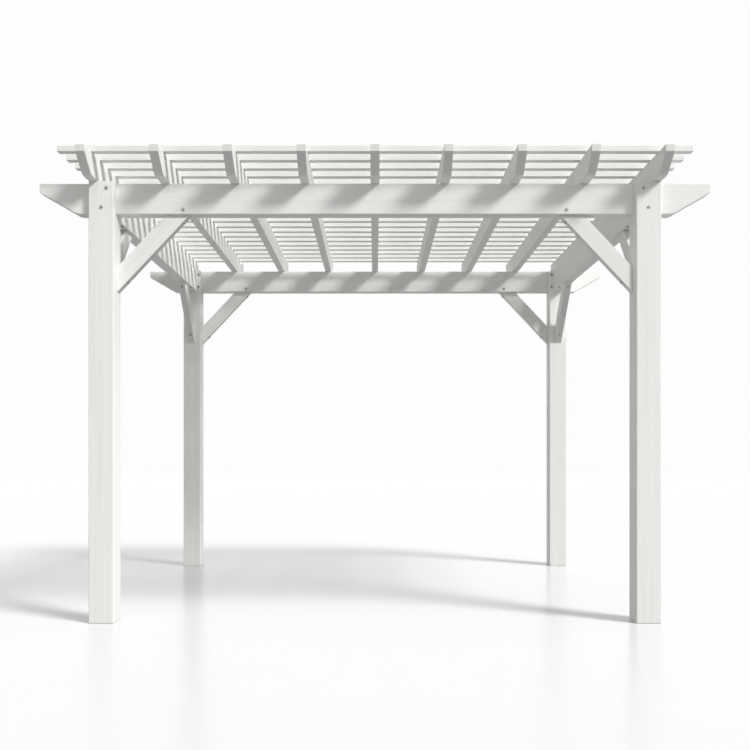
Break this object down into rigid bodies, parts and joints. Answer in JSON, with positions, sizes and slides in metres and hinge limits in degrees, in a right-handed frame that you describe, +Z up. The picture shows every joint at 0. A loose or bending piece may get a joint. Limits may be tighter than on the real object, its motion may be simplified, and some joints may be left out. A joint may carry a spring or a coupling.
{
  "type": "pergola",
  "caption": "Free-standing white timber pergola: notched square posts, long beams with slanted ends, knee braces, rafters and an open slatted top.",
  "frame": {"origin": "on the floor, under the middle of the roof's outline", "axes": "+Z up, +X to the right along the long beams, front towards -Y"},
  "size_m": [3.786, 3.047, 2.635],
  "materials": {
    "post_paint": "white painted sawn softwood, satin",
    "beam_paint": "white painted sawn softwood, satin",
    "brace_paint": "white painted sawn softwood, satin",
    "rafter_paint": "white painted sawn softwood, satin",
    "slat_paint": "white painted planed softwood, satin",
    "bolt_zinc": "dull galvanised steel"
  },
  "bodies": {
    "root": {"post_front_left": "post_paint", "post_front_right": "post_paint", "post_back_left": "post_paint", "post_back_right": "post_paint", "beam_front": "beam_paint", "beam_back": "beam_paint", "side_beam_left": "beam_paint", "side_beam_right": "beam_paint", "beam_brace_front_left": "brace_paint", "beam_brace_front_right": "brace_paint", "beam_brace_back_left": "brace_paint", "beam_brace_back_right": "brace_paint", "side_brace_front_left": "brace_paint", "side_brace_front_right": "brace_paint", "side_brace_back_left": "brace_paint", "side_brace_back_right": "brace_paint", "rafter_1": "rafter_paint", "rafter_2": "rafter_paint", "rafter_3": "rafter_paint", "rafter_4": "rafter_paint", "rafter_5": "rafter_paint", "rafter_6": "rafter_paint", "rafter_7": "rafter_paint", "rafter_8": "rafter_paint", "rafter_9": "rafter_paint", "slat_01": "slat_paint", "slat_02": "slat_paint", "slat_03": "slat_paint", "slat_04": "slat_paint", "slat_05": "slat_paint", "slat_06": "slat_paint", "slat_07": "slat_paint", "slat_08": "slat_paint", "slat_09": "slat_paint", "slat_10": "slat_paint", "slat_11": "slat_paint", "slat_12": "slat_paint", "slat_13": "slat_paint", "slat_14": "slat_paint", "slat_15": "slat_paint", "slat_16": "slat_paint", "slat_17": "slat_paint", "slat_18": "slat_paint", "slat_19": "slat_paint", "slat_20": "slat_paint"}
  },
  "joints": []
}
